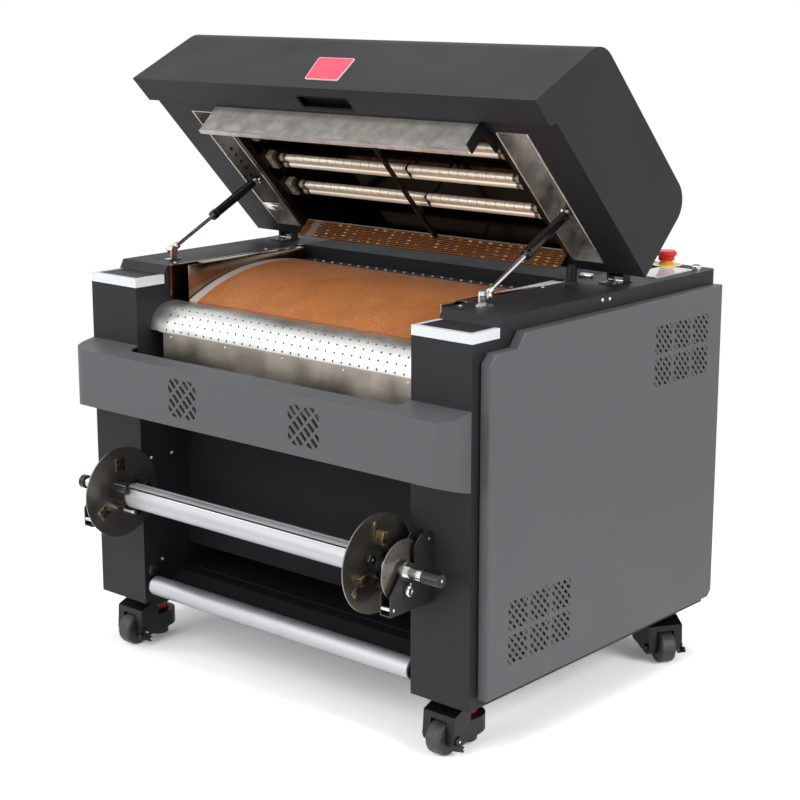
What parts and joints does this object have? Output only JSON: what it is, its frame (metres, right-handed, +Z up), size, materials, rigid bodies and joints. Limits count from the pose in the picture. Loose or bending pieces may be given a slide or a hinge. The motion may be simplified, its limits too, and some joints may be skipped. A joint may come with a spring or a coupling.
{
  "type": "powder shaker dryer",
  "caption": "Film powder shaker and curing oven on castors, with a hinged heater lid on gas springs, a belt, a front apron and a take-up shaft.",
  "frame": {"origin": "on the floor, in the middle of the whole machine's box at rest, lid open", "axes": "+X to the operator's right, +Y to the rear, +Z up"},
  "size_m": [0.995, 0.8945, 1.1971],
  "materials": {
    "charcoal": "fine textured charcoal powder coat",
    "grey": "smooth mid-grey powder coat",
    "opal": "opal white light strip",
    "mesh": "brown PTFE-coated open mesh",
    "dark_steel": "black painted steel",
    "stainless": "brushed and polished stainless sheet",
    "quartz": "quartz heater tube with a pale reflective coat",
    "ceramic": "off-white ceramic",
    "spring_black": "black enamel",
    "chrome": "ground and plated rod",
    "silver": "satin aluminium",
    "black_plastic": "black moulded plastic",
    "bracket_paint": "black powder coat",
    "white_plastic": "white plastic",
    "tyre": "dark nylon wheel",
    "red_plastic": "red plastic",
    "yellow_plastic": "yellow plastic",
    "white_plate": "glossy white plate",
    "key_metal": "plated ring"
  },
  "bodies": {
    "base": {"left_cabinet": "charcoal", "right_cabinet": "charcoal", "cap_lights": "opal", "centre_housing": "charcoal", "lower_tray": "charcoal", "left_side_panel": "grey", "right_side_panel": "grey", "left_panel_vents": "grey", "right_panel_vents": "grey", "front_apron": "grey", "apron_vents": "grey", "belt_loop": "mesh", "belt_bed": "dark_steel", "oven_walls": "stainless", "infeed_cover": "stainless", "front_plate": "stainless", "rear_strip": "stainless", "hinge_blocks": "dark_steel", "spring_feet": "dark_steel", "left_take_up_bracket": "bracket_paint", "right_take_up_bracket": "bracket_paint", "roller_pins": "silver", "castor_stems": "black_plastic", "castor_rings": "red_plastic", "control_plate": "white_plate", "stop_base": "yellow_plastic", "key_switch": "key_metal", "conduit": "black_plastic"},
    "lid": {"lid_shell": "charcoal", "lid_channels": "stainless", "lid_rails": "dark_steel", "lid_reflector": "stainless", "heater_tubes": "quartz", "heater_holders": "ceramic", "lid_flap": "stainless", "lid_hinges": "dark_steel", "spring_heads": "dark_steel"},
    "left_rod": {"left_spring_rod": "chrome"},
    "left_cylinder": {"left_spring_cylinder": "spring_black"},
    "right_rod": {"right_spring_rod": "chrome"},
    "right_cylinder": {"right_spring_cylinder": "spring_black"},
    "take_up": {"take_up_shaft": "silver", "take_up_tube": "silver", "take_up_discs": "silver", "take_up_chucks": "black_plastic", "shaft_bushing": "white_plastic", "brake_disc": "silver"},
    "roller": {"guide_roller": "silver", "roller_hubs": "black_plastic"},
    "stop_button": {"stop_head": "red_plastic"},
    "front_left_fork": {"front_left_castor_fork": "black_plastic"},
    "front_left_wheel": {"front_left_castor_wheel": "tyre"},
    "front_right_fork": {"front_right_castor_fork": "black_plastic"},
    "front_right_wheel": {"front_right_castor_wheel": "tyre"},
    "rear_left_fork": {"rear_left_castor_fork": "black_plastic"},
    "rear_left_wheel": {"rear_left_castor_wheel": "tyre"},
    "rear_right_fork": {"rear_right_castor_fork": "black_plastic"},
    "rear_right_wheel": {"rear_right_castor_wheel": "tyre"}
  },
  "joints": [
    {"name": "lid_hinge", "type": "hinge", "parent": "base", "child": "lid", "pos_m": [0, 0.19455, 0.786], "axis": [1, 0, 0], "range_deg": [0, 46.3]},
    {"name": "left_spring_foot", "type": "hinge", "parent": "base", "child": "left_rod", "pos_m": [-0.393, -0.16175, 0.787], "axis": [1, 0, 0], "range_deg": [-27.39, 0]},
    {"name": "left_spring_stroke", "type": "slide", "parent": "left_rod", "child": "left_cylinder", "axis": [0, 0.8955, 0.445], "range_m": [-0.07887, 0]},
    {"name": "right_spring_foot", "type": "hinge", "parent": "base", "child": "right_rod", "pos_m": [0.393, -0.16175, 0.787], "axis": [1, 0, 0], "range_deg": [-27.39, 0]},
    {"name": "right_spring_stroke", "type": "slide", "parent": "right_rod", "child": "right_cylinder", "axis": [0, 0.8955, 0.445], "range_m": [-0.07887, 0]},
    {"name": "take_up_spin", "type": "hinge", "parent": "base", "child": "take_up", "pos_m": [0, -0.35975, 0.347], "axis": [1, 0, 0], "continuous": true},
    {"name": "roller_spin", "type": "hinge", "parent": "base", "child": "roller", "pos_m": [0, -0.27775, 0.136], "axis": [1, 0, 0], "continuous": true},
    {"name": "front_left_swivel", "type": "hinge", "parent": "base", "child": "front_left_fork", "pos_m": [-0.403, -0.21775, 0.087], "axis": [0, 0, 1], "continuous": true},
    {"name": "front_left_roll", "type": "hinge", "parent": "front_left_fork", "child": "front_left_wheel", "pos_m": [-0.403, -0.27975, 0.031], "axis": [-1, 0, 0], "continuous": true},
    {"name": "front_right_swivel", "type": "hinge", "parent": "base", "child": "front_right_fork", "pos_m": [0.403, -0.21775, 0.087], "axis": [0, 0, 1], "continuous": true},
    {"name": "front_right_roll", "type": "hinge", "parent": "front_right_fork", "child": "front_right_wheel", "pos_m": [0.403, -0.27975, 0.031], "axis": [-1, 0, 0], "continuous": true},
    {"name": "rear_left_swivel", "type": "hinge", "parent": "base", "child": "rear_left_fork", "pos_m": [-0.403, 0.36725, 0.087], "axis": [0, 0, 1], "continuous": true},
    {"name": "rear_left_roll", "type": "hinge", "parent": "rear_left_fork", "child": "rear_left_wheel", "pos_m": [-0.351, 0.33348, 0.031], "axis": [-0.5446, -0.8387, 0], "continuous": true},
    {"name": "rear_right_swivel", "type": "hinge", "parent": "base", "child": "rear_right_fork", "pos_m": [0.403, 0.36725, 0.087], "axis": [0, 0, 1], "continuous": true},
    {"name": "rear_right_roll", "type": "hinge", "parent": "rear_right_fork", "child": "rear_right_wheel", "pos_m": [0.455, 0.33348, 0.031], "axis": [-0.5446, -0.8387, 0], "continuous": true},
    {"name": "stop_press", "type": "slide", "parent": "base", "child": "stop_button", "axis": [0, 0, -1], "range_m": [0, 0.004], "stiffness_N_per_m": 800, "springref_m": -0.002}
  ],
  "couplings": [
    {"joint": "left_spring_foot", "follows": "lid_hinge", "ratio": -0.58728},
    {"joint": "left_spring_stroke", "follows": "lid_hinge", "m_per_rad": -0.097228},
    {"joint": "right_spring_foot", "follows": "lid_hinge", "ratio": -0.58728},
    {"joint": "right_spring_stroke", "follows": "lid_hinge", "m_per_rad": -0.097228}
  ]
}
